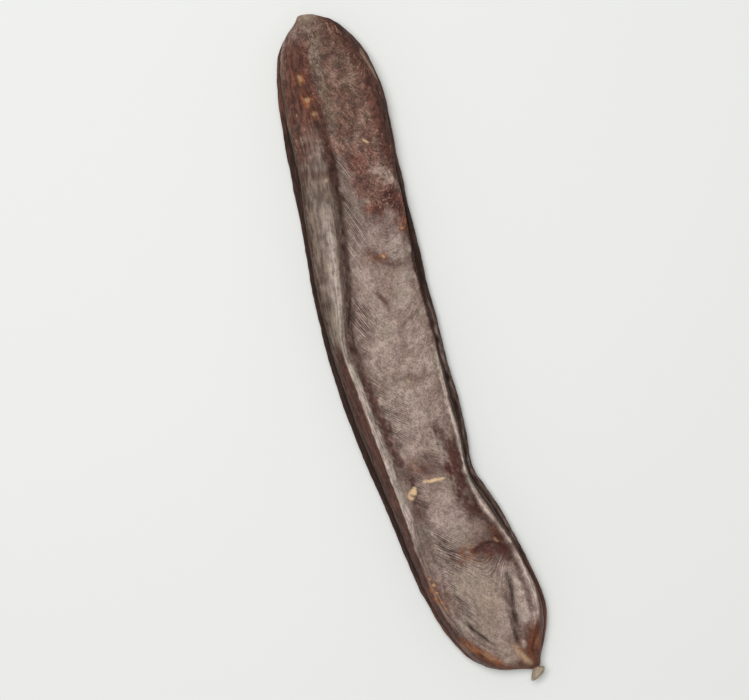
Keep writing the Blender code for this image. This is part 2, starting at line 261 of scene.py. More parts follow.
def lower_side(x, centre, half, seam):
    """Points from the right lower lip under the pod to the left lower lip."""
    left, right = curve(BOTTOM_LEFT, x), curve(BOTTOM_RIGHT, x)
    left_back, right_back = lip_backs(x)
    depth = curve(UNDERSIDE_DEPTH, x)
    wander = UNDERSIDE_WANDER * np.sin(2 * np.pi * x / UNDERSIDE_WAVE)
    points = [
        (1 + LOWER_LIP_PLACE * (right_back - 1), seam - LOWER_LIP_DROP),
        (1, right + EDGE_HEIGHT * (seam - right)),
        (UNDERSIDE_HEEL, right + HEEL_HEIGHT * (seam - right)),
    ]
    for share, sunk in UNDERSIDE:
        height = left + (right - left) * (share + 1) / 2 - UNDERSIDE_SWELL + sunk * depth
        share += wander
        points.append((share, height + face_relief(UNDER_RELIEF, x, centre, half, share)))
    points += [
        (-UNDERSIDE_HEEL, left + HEEL_HEIGHT * (seam - left)),
        (-1, left + EDGE_HEIGHT * (seam - left)),
        (-1 + LOWER_LIP_PLACE * (left_back + 1), seam - LOWER_LIP_DROP),
    ]
    return [(centre + share * half, height) for share, height in points]


def ring_angles():
    """Angles of a ring's points seen along the pod, from the left seam over the top."""
    upper_points = 11 + len(VALVE_PARTS)
    lower_points = 6 + len(UNDERSIDE)
    upper = np.linspace(np.pi, 0, upper_points)
    lower = np.linspace(0, -np.pi, lower_points + 2)[1:-1]
    return np.concatenate([upper, lower])


def pod_ring(x):
    """The pod's cross-section at x, as points (x, y, z)."""
    centre = curve(CENTRE, x)
    half, thick, least = half_sizes(x)
    seam = curve(SEAM_HEIGHT, x)
    outline = np.array(upper_side(x, centre, half, seam) + lower_side(x, centre, half, seam))
    outline[:, 1] = seam + (outline[:, 1] - seam) * thick
    angles = ring_angles()
    deep = np.hypot(curve(TOP_LEFT, x) / 2 * thick, least)
    oval = np.column_stack([centre + half * np.cos(angles), seam + deep * np.sin(angles)])
    from_end = min(x - POD_START, POD_END - x)
    ovalness = max(0, 1 - from_end / END_LENGTH) ** 1.5
    outline += (oval - outline) * ovalness
    return np.column_stack([np.full(len(outline), x), outline])


def round_ring(x, y, z, radius, lean, flatness=1):
    """A small round ring, leaning so that it lies further along the pod on one side."""
    angles = ring_angles()
    across = radius * np.cos(angles)
    return np.column_stack([x + lean * across, y + across, z + flatness * radius * np.sin(angles)])


def scar_rings():
    """The broken stalk's scar, from the middle of its hollow out to its rim."""
    y, z = curve(CENTRE, 0) - 0.1, curve(SEAM_HEIGHT, 0)
    inner = round_ring(SCAR_PLACE + SCAR_DEPTH, y, z, 0.45 * STALK_SCAR_RADIUS, SCAR_LEAN)
    lip = round_ring(SCAR_PLACE, y, z, 0.85 * STALK_SCAR_RADIUS, SCAR_LEAN)
    rim = round_ring(SCAR_PLACE + 0.3, y, z, 1.08 * STALK_SCAR_RADIUS, SCAR_LEAN)
    return [inner, lip, rim]


def ring_places():
    """Places of the pod's rings, closer together towards the two ends."""
    turn = np.linspace(0, np.pi, RINGS)
    even = turn / np.pi
    rounded = (1 - np.cos(turn)) / 2
    return POD_START + 0.25 + (POD_END - POD_START - 0.3) * (0.45 * even + 0.55 * rounded)


def cage_rings():
    """Every ring of the cage, from the stalk scar to the end of the style."""
    style_height = curve(SEAM_HEIGHT, POD_END)
    rings = scar_rings()
    rings += [pod_ring(x) for x in ring_places()]
    for x, y, radius, lean in STYLE_RINGS:
        rings.append(round_ring(x, y, style_height, radius, lean, STYLE_FLATNESS))
    return rings


# The skin's fine mesh.

def spline_weights(t):
    """Weights of four neighbouring cage points at the share t between the middle two."""
    return (
        (1 - t) ** 3 / 6,
        (3 * t**3 - 6 * t**2 + 4) / 6,
        (-3 * t**3 + 3 * t**2 + 3 * t + 1) / 6,
        t**3 / 6,
    )


def closed_cage():
    """The cage as an array of rings, with each end drawn in to a point."""
    rings = np.array(cage_rings())
    first, last = rings[:1].mean(axis=1, keepdims=True), rings[-1:].mean(axis=1, keepdims=True)
    start = np.repeat(np.broadcast_to(first, rings[:1].shape), 3, axis=0)
    end = np.repeat(np.broadcast_to(last, rings[:1].shape), 3, axis=0)
    return np.concatenate([start, rings, end])


def along_spline(cage, v):
    """Rings of the smooth surface at the places v, counted in rings of the cage."""
    i = np.clip(v.astype(int), 1, len(cage) - 3)
    weights = spline_weights(v - i)
    return sum(w[:, None, None] * cage[i + k - 1] for k, w in enumerate(weights))


def around_spline(rings, u):
    """Points of the smooth surface at the places u, counted in points of a ring."""
    i = np.floor(u).astype(int)
    weights = spline_weights(u - i)
    return sum(w[None, :, None] * rings[:, (i + k - 1) % RING_POINTS] for k, w in enumerate(weights))


def even_rows(cage):
    """Places along the cage at which the skin's rows lie about evenly over its length."""
    v = np.linspace(1, len(cage) - 2, 6000)
    middle_line = along_spline(cage, v)[:, [LEFT_CREST, RIGHT_CREST]].mean(axis=1)
    step = np.linalg.norm(np.diff(middle_line, axis=0), axis=1) + 0.012
    length = np.concatenate([[0], np.cumsum(step)])
    return np.interp(np.linspace(0, length[-1], ROWS), length, v)


def ring_columns():
    """Places of the skin's columns, counted in points of a ring."""
    return np.concatenate([i + np.arange(n) / n for i, n in enumerate(COLUMNS)])


def grid_normals(points):
    """Outward unit normals of a grid of points whose columns close round it."""
    around = np.roll(points, -1, axis=1) - np.roll(points, 1, axis=1)
    along = np.gradient(points, axis=0)
    normal = np.cross(along, around)
    size = np.linalg.norm(normal, axis=2, keepdims=True)
    return normal / np.maximum(size, 1e-9)


# Fields over the skin: all take or give one value for each of its points.

def rise(low, high, value):
    """0 below low, 1 above high, and smooth between them. It falls where low is above high."""
    t = np.clip((value - low) / (high - low), 0, 1)
    return t * t * (3 - 2 * t)


def unit(value):
    """The value, kept from 0 to 1."""
    return np.clip(value, 0, 1)


def near(value, centre, width):
    """1 at the centre, falling off smoothly over the width."""
    return np.exp(-(((value - centre) / width) ** 2))


def between(value, low, high, soft):
    """1 from low to high, with soft ends."""
    return rise(low - soft, low + soft, value) * rise(high + soft, high - soft, value)


def waves(places, size, seed, count=18):
    """A smooth random field of about -1 to 1 whose lumps have this size."""
    rng = np.random.default_rng(seed)
    total = 0
    for _ in range(count):
        direction = rng.normal(size=3)
        direction *= 2 * np.pi / size * rng.uniform(0.5, 1.3) / np.linalg.norm(direction)
        total += np.sin(places @ direction + rng.uniform(0, 2 * np.pi))
    return total / math.sqrt(count)


def line_distance(x, y, line):
    """Distance from each point to a broken line, and how far along the line it is, 0 to 1."""
    line = np.array(line, float)
    best, place = np.full(x.shape, 1e9), np.zeros(x.shape)
    for i, (start, end) in enumerate(zip(line, line[1:])):
        step = end - start
        t = ((x - start[0]) * step[0] + (y - start[1]) * step[1]) / (step @ step)
        t = unit(t)
        distance = np.hypot(x - start[0] - t * step[0], y - start[1] - t * step[1])
        closer = distance < best
        best = np.where(closer, distance, best)
        place = np.where(closer, (i + t) / (len(line) - 1), place)
    return best, place


def along_line(x, y, line, width):
    """1 on the line, falling off over the width and thinning out towards its two ends."""
    distance, place = line_distance(x, y, line)
    return near(distance, 0, width) * np.sqrt(unit(4 * place * (1 - place)))


def patch(x, y, at_x, at_y, along, across, turn=0):
    """1 in the middle of an oval patch, falling off over its half lengths. turn is in degrees."""
    c, s = math.cos(math.radians(turn)), math.sin(math.radians(turn))
    dx, dy = x - at_x, y - at_y
    return np.exp(-(((c * dx + s * dy) / along) ** 2) - ((c * dy - s * dx) / across) ** 2)


def total(x, y, patches):
    """The sum of a list of patches, each times its share."""
    return sum(
        share * patch(x, y, at_x, at_y, along, across, *turn)
        for at_x, at_y, along, across, share, *turn in patches
    )


# Creases in the upper face: half width, depth and the points of the broken line that each follows.
CREASES = (
    (0.3, 0.16, (59.5, -5.6), (62.4, -4.3), (64.6, -2.6), (66, 0), (66.4, 3.2)),
    (0.28, 0.12, (59, -4.6), (61, -3.6), (63, -2)),
    (0.4, 0.22, (70.2, -6.7), (72.3, -6), (74.6, -4.7)),
    (0.35, 0.16, (76, 3.5), (78.5, 0.6), (80.8, -3.8)),
    (0.35, 0.15, (90.6, -10.5), (92.6, -8.6), (93.4, -6)),
    (0.4, 0.18, (104, -4.9), (106.8, -4), (110, -3.2)),
    (0.35, 0.2, (112.2, -12), (114.2, -10.1), (117, -8.8)),
    (0.35, 0.18, (110.8, -10.2), (113, -8.2), (116.2, -6.8)),
    (0.35, 0.16, (111.5, -7.6), (113.6, -6.2), (116.6, -5.4)),
    (0.45, 0.3, (133.6, -12), (136, -10.9), (138.6, -9.6), (141.5, -7.2)),
    (0.4, 0.24, (132.8, -10.9), (135.4, -9.9), (137.8, -8.7)),
    (0.4, 0.2, (136.3, -12.6), (139, -11), (142.4, -8.8)),
    (0.35, 0.16, (138.6, -13.2), (141.4, -11.6), (144.2, -9.4)),
    (0.55, 0.35, (138, -5.2), (138.2, -3.8), (137.6, -2), (137.8, 0.4), (139.4, 3.2)),
    (0.35, 0.18, (139.8, -6.6), (140.6, -4.2), (140.2, -2)),
    (0.4, 0.26, (144.8, 1), (147.6, 1.5), (151, 1.1), (155, 0.2), (158.4, -0.1)),
    (0.4, 0.24, (154, -1.6), (157, -1.2), (161, -1.4), (164, -1.7)),
    (0.35, 0.22, (146.6, -12.4), (149.2, -11), (151.2, -9.4)),
    (0.35, 0.22, (149, -12.2), (151.6, -10.9), (153.4, -9.6)),
    (0.35, 0.28, (150.8, -13.4), (154, -12.2), (157.6, -10.4), (160.8, -8)),
    (0.35, 0.28, (153.4, -12), (156.6, -10.6), (160, -8.4), (162.6, -6)),
    (0.3, 0.22, (154.8, -13.2), (158.2, -11.6), (161.6, -9), (163.6, -6.8)),
    (0.3, 0.14, (147, -9.8), (149.8, -8.4), (152.4, -8)),
    (0.3, 0.14, (151.4, -8.6), (154.4, -7.2), (157, -6.4)),
    (0.4, 0.2, (127, -14.8), (131.6, -14), (136.6, -14.2), (141.4, -13.4)),
    (0.35, 0.14, (10, -2.6), (18, -4.4), (27, -5.6)),
    (0.35, 0.12, (8, -0.6), (15, -1.6), (22, -2.2)),
)

# Scabs and knobs: place along, place across, half lengths, height, cream, orange, then any turn.
SCABS = (
    (15.2, -7.6, 0.9, 0.7, 0.28, 0.35, 0.6, 20), (16.6, -8, 0.5, 0.4, 0.12, 0.2, 0.8),
    (20.8, -7.6, 0.9, 0.6, 0.26, 0.35, 0.6, 60), (22.4, -7.9, 0.5, 0.4, 0.12, 0.3, 0.7),
    (24.7, -6.9, 0.7, 0.7, 0.24, 0.4, 0.55), (34.8, 2.5, 0.9, 0.45, 0.2, 0.75, 0.1, 40),
    (41, -9.5, 0.5, 0.3, 0.1, 0.5, 0.1), (56, 5.4, 0.5, 0.6, -0.12, 0, 0.55),
    (57.6, 4.4, 0.4, 0.5, 0.08, 0.4, 0.5), (58.6, 5.8, 0.5, 0.4, -0.1, 0, 0.55),
    (62.9, -2.3, 0.6, 0.35, 0.1, 0.5, 0.3, 60), (93.6, -6.5, 0.5, 0.6, 0.08, 0.45, 0),
    (141, -17, 0.5, 0.3, 0.1, 0.5, 0.5, 30), (142.6, -16.5, 0.5, 0.4, 0.14, 0.6, 0.9, 10),
    (143.6, -17.4, 0.4, 0.3, 0.1, 0.1, 0.9), (144.8, -16.2, 0.6, 0.3, 0.12, 0.6, 0.6, 60),
    (146, -17, 0.4, 0.3, 0.1, 0.2, 0.9), (147.4, -15.9, 0.6, 0.4, -0.16, 0.3, 0.7, 30),
    (149.2, -15.4, 0.5, 0.3, 0.08, 0.3, 0.6, 40), (160.4, -12.6, 2.2, 0.6, 0.08, 0.1, 0.5, 35),
    (164, -9.2, 2, 0.6, 0.08, 0.2, 0.45, 40), (137.2, 1.6, 0.7, 0.5, 0.1, 0.5, 0.2),
)

# Places of colours along and across the pod.
SLIVER = ((118, -11.2), (118.4, -9.2), (118.7, -7.2), (118.8, -5.2))
TORN_PATCH = (120.1, -14.2, 1.9, 1, -42)
# CRESCENT: a painted highlight on the lit slope of a round knob.
CRESCENT = ((41.4, 0.6), (42.6, 3.2), (44.2, 5.3), (47, 6.4), (49.4, 6.6))
# RIGHT_FOLD: a fold drawn only in colour, with a painted highlight along it and painted shade inside it.
RIGHT_FOLD = ((12.4, 8.7), (15.4, 9), (18.1, 9.7), (21.6, 10.6))
TIP_STRIPE = ((162.8, -2.4), (165, -2), (167.4, -0.9), (169.6, 0.4))
GREY_STRIPE = ((1.5, -0.2), (5, -0.4), (11, -2), (16, -3.2), (24, -3.7), (32, -4.6))

# Red and brown creases: half width, share and the line's points.
RED_LINES = (
    (
        1.25, 1, (104.5, -4.6), (108.8, -2.5), (114, -2), (118.6, -2.5), (124.5, -2.8), (128.4, -1.8),
        (131.4, -0.6),
    ),
    (1.1, 0.3, (59, -6), (62, -4.4), (65.2, -1.6), (66.2, 2.4)),
    (1.3, 0.9, (47, 4.8), (50.5, 4.9), (53.5, 5.6)),
    (1.1, 0.5, (36, 5.5), (41, 8), (47, 8.8)),
    (1.4, 0.8, (138.8, -5.4), (138.6, -3.8), (138, -1.5), (138.2, 3.6)),
    (0.75, 0.75, (86, -16.8), (93, -16), (100, -15.6), (107, -15.4), (114, -14.6)),
    (0.8, 0.45, (112, -12.2), (116.5, -13.6), (121.5, -13.4), (127, -14.4)),
)

# Patches of colour: place along, place across, half lengths, share, then any turn.
RED_PATCHES = (
    (49, 2.8, 2.6, 1.9, 0.62), (45, -1, 8, 4.5, 0.28, 10), (29, 8.5, 9, 2, 0.35),
    (7, 4.4, 5, 3.4, 0.45, 25), (10, -5.2, 6, 0.9, 0.55, -12), (115.2, -8.4, 2.6, 2.8, 0.75, 20),
    (116.8, -4.2, 1.6, 1.6, 0.7), (139.2, 1.2, 3.2, 3.8, 1.2, 10), (134.2, 1.6, 2.4, 1.6, 0.4),
    (164, 2.8, 4.2, 4, 0.9), (62.4, -3.7, 3, 1.8, 0.42, 42), (66, 1.8, 1.4, 3, 0.3),
    (163, 5.2, 3, 1.6, 0.7), (73, -5.6, 2.4, 0.7, 0.5, 20), (93, -5.4, 3, 1.4, 0.4, 60),
    (155, -0.6, 6, 0.9, 0.6), (145, -14.6, 3.6, 1.4, 0.5), (83, -17.2, 4, 1.2, 0.5, 10),
    (20, -8, 10, 3.2, 0.35), (165.2, 2.6, 3.6, 2.8, 0.9), (138.4, -6.6, 2.2, 2.8, 0.28, 20),
    (124.5, -14.4, 5, 1.4, 0.2),
)
ORANGE_PATCHES = (
    (138.2, -7.2, 2, 2.6, 0.85, 20), (140.6, -3.4, 1, 3.4, 0.4), (62, -4.4, 2.8, 1.8, 0.4, 42),
    (137.6, -0.6, 1.6, 3.4, 0.25), (166.4, -1.2, 3, 0.9, 0.9, 15), (161, -12.4, 3.6, 0.9, 0.65, 38),
    (165.4, -8.4, 3.2, 0.8, 0.55, 42), (56.6, 4.4, 2.6, 1.3, 0.2, 10), (144.4, -16.9, 3.6, 1, 0.35, 10),
    (62.4, -2.2, 1.2, 0.7, 0.5, 40), (20, -8.2, 6.5, 1.3, 0.35), (114.5, -11, 3.2, 1.2, 0.35, 25),
    (134.6, 2.4, 1.4, 1.8, 0.35), (165, 2.8, 2.8, 1.6, 0.85, -20),
)
# Most dark patches lie along folds, dents and furrows and are painted shade; the rest are dark mottles.
DARK_PATCHES = (
    (51.6, 4.9, 1.8, 1.4, 0.55), (35, -6.2, 6.5, 0.9, 0.55, 8), (12, 5.6, 9, 2.6, 0.35, 12),
    (8, -5, 6, 2, 0.2, -20), (135.6, -0.8, 1.2, 2.2, 0.4), (107, -3.4, 2.6, 1, 0.2),
    (93, -2, 0.9, 1.8, 0.35, 20), (65, 4.2, 3.6, 1.2, 0.5), (153.5, 0.6, 7, 1.1, 0.55),
    (147.6, 1.5, 2.8, 0.8, 0.6), (156.6, -0.2, 4, 0.8, 0.6), (162, -1.4, 3, 0.8, 0.5),
    (138.6, 2.6, 3, 2.2, 0.2), (125, -2.6, 4.5, 1.1, 0.35), (166, 3, 3, 2, 0.2),
    (164, -10.4, 3.2, 1.3, 0.35, 40),
)

# Patches where the bloom and its painted sheen are thinner, or thicker where the share is negative.
THINNER_BLOOM_AND_SHEEN = (
    (45.5, -6.2, 5, 1.8, 0.35, -8), (52.5, -0.6, 3, 4, 0.28), (60, -0.6, 2.5, 3.5, 0.15),
    (81.8, -5, 5, 4, 0.12), (118.6, -8.5, 2.5, 3, 0.18), (127.5, -8, 4, 4, 0.1),
    (129.4, -1.5, 3.6, 1.4, 0.5), (45, 4.9, 2, 1.4, -0.3), (148, -15.2, 5, 1.6, -0.3),
    (151.5, 3.7, 5, 1.4, -0.3), (155.5, -11.6, 2.5, 1.5, -0.25, 20), (161.5, -8.6, 2.5, 1.4, -0.3, 40),
    (158, 2.6, 3.5, 1.8, -0.45), (18.1, 0, 4.5, 2.5, 0.1), (37.7, 0, 3.2, 3, 0.22),
    (46, 2.2, 2, 1.8, 0.1), (106.3, -7.4, 3, 3, 0.1), (160, -5, 4, 3, 0.14),
    (124.7, -14.6, 5, 1.6, 0.25), (28.5, -6.6, 4, 1.2, -0.12), (50.5, -3.7, 4.5, 1.6, 0.3),
    (56.5, 2.6, 2.6, 3, 0.24), (46.5, -15.8, 2.6, 2.4, 0.14), (117.5, -13.4, 4.5, 1.3, 0.45),
    (120.2, -5, 2.4, 2.8, 0.2), (3.6, -4.4, 3.4, 2.8, -0.45, -35), (152.5, -6, 5, 2.5, 0.1),
    (158.5, -11, 4, 2, -0.15, 35), (71, -16.2, 2.6, 1.2, -0.25),
)

# Patches of strong wrinkles.
WRINKLED = (
    (41, -4.2, 8, 2.2, 0.7, -8), (55.5, -6.6, 5, 2.6, 0.8, -10), (76.5, -12.4, 6, 2.4, 1, -10),
    (58, 1.6, 4.5, 2.6, 0.7), (100, -11.5, 10, 2.8, 0.7), (113.5, -9.2, 4.5, 3.4, 0.7),
    (135.5, -10, 4.5, 3.2, 1, 20), (143.2, -1.5, 4, 5, 0.75), (151, -12, 8, 3, 0.9, 25),
    (158, 4, 5, 2, 0.5, -20), (104, -1, 6, 2.2, 0.5), (82, 1.5, 7, 2.2, 0.4),
)


def furrow_line(x):
    """Where across the pod the left furrow runs."""
    share = curve(LEFT_RIM, x) + curve(LEFT_STEP, x)
    return curve(CENTRE, x) + curve(HALF_WIDTH, x) * share


def wrinkle_lines(x, y):
    """Which fine wrinkle a point lies on, and how far along it, as two lengths.

    From either side of the face the wrinkles slant towards the tip, and they meet in its middle.
    """
    across = np.clip(y - furrow_line(x), -9, 26)
    from_middle = np.hypot(across - 11, 2.6)
    lean = 2.4 - 1.2 * rise(50, 110, x) + 1 * rise(140, 158, x)
    places = np.linspace(0, 180, 721)
    closeness = 1 + 0.25 * rise(60, 115, places)
    length = np.cumsum(closeness) * (places[1] - places[0])
    reach = 0.85 * lean * (11.3 - from_middle)
    return np.interp(x, places, length) - np.interp(x, places, closeness) * reach, 1.8 * across


def drawn_out(phase, along, size, stretch, seed):
    """A random field whose lumps are drawn out along the wrinkles."""
    places = np.stack([phase, along / stretch, np.zeros_like(phase)], axis=-1)
    return waves(places, size, seed)


def fields(points, u):
    """Every field that the shape and the colours of the skin need, from its smooth points."""
    x, y = points[..., 0], points[..., 1]
    u = np.broadcast_to(u, x.shape)
    f = SimpleNamespace(u=u, x=x, y=y, length=x, ring=u)
    f.lumps = waves(points, 9, 1)
    f.small = small = waves(points, 3.2, 2)
    f.tiny = tiny = waves(points, 1.3, 3)
    f.phase, f.along = wrinkle_lines(x, y)
    f.drawn = drawn_out(f.phase, f.along, 3.4, 3, 5)
    f.drawn_fine = drawn_out(f.phase, f.along, 1.7, 4, 6)
    jag = 0.6 * small + 0.5 * tiny
    jagged = u + 0.16 * jag
    ragged = x + 1.8 * small + 1 * tiny + 0.5 * (y + 12)

    f.top = between(u, 1, 14, 0.5)
    f.body = rise(1, 4, x) * rise(170.9, 170.4, x)

    # Parts of the upper face.
    f.face = between(jagged, 5.3, 11.4, 0.35)
    f.band = between(jagged, 2.1, 4.25, 0.22) * rise(83, 76, x + 1.5 * (u - 3))
    f.pale_band = f.band * rise(20, 48, ragged + 1.5 * small - 3 * near(u, 3.9, 0.5))
    f.flank = between(u + 0.06 * jag, 0.6, 3.25, 0.18) * rise(78, 84, x + 0.5 * jag)
    f.left_strip = rise(2.2, 1.7, u + 0.05 * jag) * between(x, 10, 84, 4)
    # The ridge and the two crests below get painted highlight lines.
    f.ridge = near(u + 0.05 * jag, 3.55 + 0.15 * rise(55, 75, x), 0.5) * between(x, 48.5, 86, 6)
    f.crest_left = between(u + 0.06 * jag, 3.3, 4.4, 0.22) * rise(80, 87, x)
    f.inward = between(x, 86, 106, 4)
    f.crest_right = near(u + 0.07 * jag, 12.2 - 0.4 * f.inward, 0.36) * rise(82, 94, x)
    # The left furrow: its darker colour and thin bloom below are partly its own colour and partly painted
    # shade.
    furrow = near(jagged, 4.85, 0.34) * between(x, 22, 84, 7)
    broken = (0.05 + 0.3 * rise(-0.8, 0.8, waves(points * (1, 0.3, 0.3), 2.4, 32))) * rise(117, 92, x)
    furrow += broken * near(jagged, 4.85, 0.42) * between(x, 84, 121, 4)
    f.furrow = unit(furrow)
    # The right side, painted near-black below: painted shade.
    f.right_side = between(u + 0.09 * jag, 12.8 - 0.4 * f.inward, 15.3, 0.2) * rise(46, 51, x)
    f.right_round = rise(11.3, 13.2, u + 0.1 * jag) * rise(15.8, 15, u) * rise(50, 45, x)
    f.seam = near(u, 0, 0.5) + near(u, RING_POINTS, 0.5) + near(u, RIGHT_SEAM, 0.55)
    f.lips = near(u, 16.2, 0.45) + near(u, 28, 0.45)
    f.under = between(u, 18, 26, 0.5)
    # The right fold's painted highlight.
    f.right_fold = along_line(x, y, RIGHT_FOLD, 0.32) * between(u, 12, 14, 0.4)
    f.under_edge = f.under * (near(u, 19.3, 0.9) + near(u, 24.7, 0.9))
    f.from_axis = np.hypot(y - y[:1, :1], points[..., 2] - points[:1, :1, 2])
    # The part of the face, away from the stalk, that is pale and finely wrinkled.
    beside_furrow = rise(33, 38, x + small) * rise(1.2, -1.2, y + 4 - 0.08 * (x - 35) + 0.9 * small)
    f.lower = np.maximum(beside_furrow, rise(50, 56, x - 0.25 * y + 1.6 * small))
    return f


def creases(f, widening=1):
    """Depth of the creases. Those of the underside are the upper ones, turned end for end."""
    def depth(x):
        return sum(d * along_line(x, f.y, line, widening * width) for width, d, *line in CREASES)

    return depth(f.x) * f.top * f.body + depth(POD_END + 2 - f.x) * f.under


def skin_relief(points, f):
    """Height, along the normal, that the fine relief adds to the smooth skin."""
    x, y = f.x, f.y
    on_top = f.top * f.body
    height = 0.1 * f.lumps + 0.05 * f.small + 0.022 * f.tiny
    height -= creases(f)
    for bx, by, along, across, up, _, _, *turn in SCABS:
        height += up * patch(x, y, bx, by, along, across, *turn) * on_top
    # The cream sliver of torn skin, and the torn patch beside it.
    sliver = along_line(x, y, SLIVER, 0.42)
    torn = patch(x, y, *TORN_PATCH) * (1 + 0.3 * f.tiny)
    height += 0.26 * sliver * on_top + 0.15 * torn * on_top
    f.cream = unit(rise(0.2, 0.7, sliver) + rise(0.35, 0.7, torn)) * on_top
    # Wrinkles on the face, and short ones across the left furrow.
    wrinkled = unit(f.face + 0.9 * f.furrow) * (0.25 + 0.75 * f.lower)
    wrinkled *= rise(168, 160, x)
    spread = 0.1 + 0.75 * rise(3.6, 0.8, y - furrow_line(x) + 0.8 * f.small)
    wrinkled *= unit(spread + total(x, y, WRINKLED))
    wrinkled += (0.15 * f.under + 0.7 * f.under_edge) * f.body
    f.wrinkle = wrinkled * rise(-1.9, -0.3, waves(points, 8, 21))
    height += (0.055 * f.drawn + 0.035 * f.drawn_fine) * wrinkled
    height += 0.05 * f.furrow * waves(points * (1, 0.35, 0.35), 1.9, 31)
    # The rough skin near the stalk.
    rough = on_top * rise(50, 30, x)
    height += 0.03 * rough * waves(points, 1.9, 41)
    return height * f.body


def veil_field(f):
    """Where the pale bloom lies on the skin, with the overhead light's sheen partly painted into it,
    palest on the raised faces.
    """
    x, y, u = f.x, f.y, f.u
    mottled = 0.1 * f.small + 0.08 * waves(np.stack([x, y, u], axis=-1), 6, 51)
    veil = 0.2 - 0.09 * rise(38, 27, x) + 0.64 * f.lower + 0.12 * rise(141, 146, x)
    veil = f.face * (veil + mottled * (1 - 0.6 * f.lower))
    # The band gets bloom and painted sheen, and its ridge a painted highlight.
    veil += f.pale_band * (0.28 - 0.07 * rise(47, 36, x) + 1.3 * mottled) + 0.9 * f.ridge
    veil += 0.35 * patch(x, y, 45, 4, 3.6, 3.2, -20) * (1 - f.lower)
    # Painted highlight on the knob's lit slope.
    veil += 0.8 * along_line(x, y, CRESCENT, 0.9)
    veil += 0.35 * near(f.ring, 3.9, 0.5) * between(x, 28, 44, 4) * rise(-0.8, 0.8, f.small)
    veil += 0.45 * near(u, 1.5, 0.7) * between(x, 3, 16, 3)
    # Painted highlight lines along the two crests.
    veil = np.maximum(veil, 1.1 * f.crest_left * (1 - 0.5 * rise(124, 134, x)) * rise(160, 148, x))
    veil = np.maximum(veil, 1.15 * f.crest_right * rise(166, 158, x))
    # The left furrow and its walls get some bloom and painted sheen.
    veil = np.maximum(veil, 0.8 * between(u, 4.2 + 0.4 * rise(150, 160, x), 5.6, 0.3) * rise(104, 120, x))
    walls = 0.36 + 0.12 * f.drawn_fine + 0.1 * rise(70, 90, x)
    veil = np.maximum(veil, walls * between(u, 4.1, 5.6, 0.3) * rise(34, 52, x))
    right_margin = between(u + 0.2 * f.small, 11, 12.1 - 0.3 * f.inward, 0.3)
    veil = np.maximum(veil, 0.74 * right_margin * between(x, 60, 109, 4))
    veil = np.maximum(veil - total(x, y, THINNER_BLOOM_AND_SHEEN), 0)
    tip = rise(169.2, 166.6, x + 0.25 * np.maximum(-4.5 - y, 0) + 0.6 * f.small)
    right_tip = rise(163.5, 160.5, x + 0.6 * (y - 2.9) + 0.7 * f.small)
    right_tip += rise(0.2, -1.2, y + 2.4 - 0.41 * (x - 162.8) + 0.3 * f.small)
    veil *= tip * unit(right_tip) * (1 - f.under)
    # No bloom on the flanks and the right side; on the right side this is part of its painted shade.
    veil *= (1 - 0.95 * f.flank) * (1 - 0.97 * f.right_side) * (1 - 0.8 * f.right_round)
    # Less bloom in the left furrow, where it is partly painted shade, and on the dark left strip.
    veil *= (1 - 0.62 * f.furrow) * (1 - 0.85 * f.left_strip)
    # Painted highlight along the right fold.
    veil += 0.6 * f.right_fold
    veil += 0.55 * near(u, 1.1, 0.6) * between(x, 4, 16, 3)
    under = f.under * (0.5 + 2 * mottled) + 0.35 * f.under_edge
    return veil + under * f.body * between(x + 2 * f.small, 14, 158, 8)


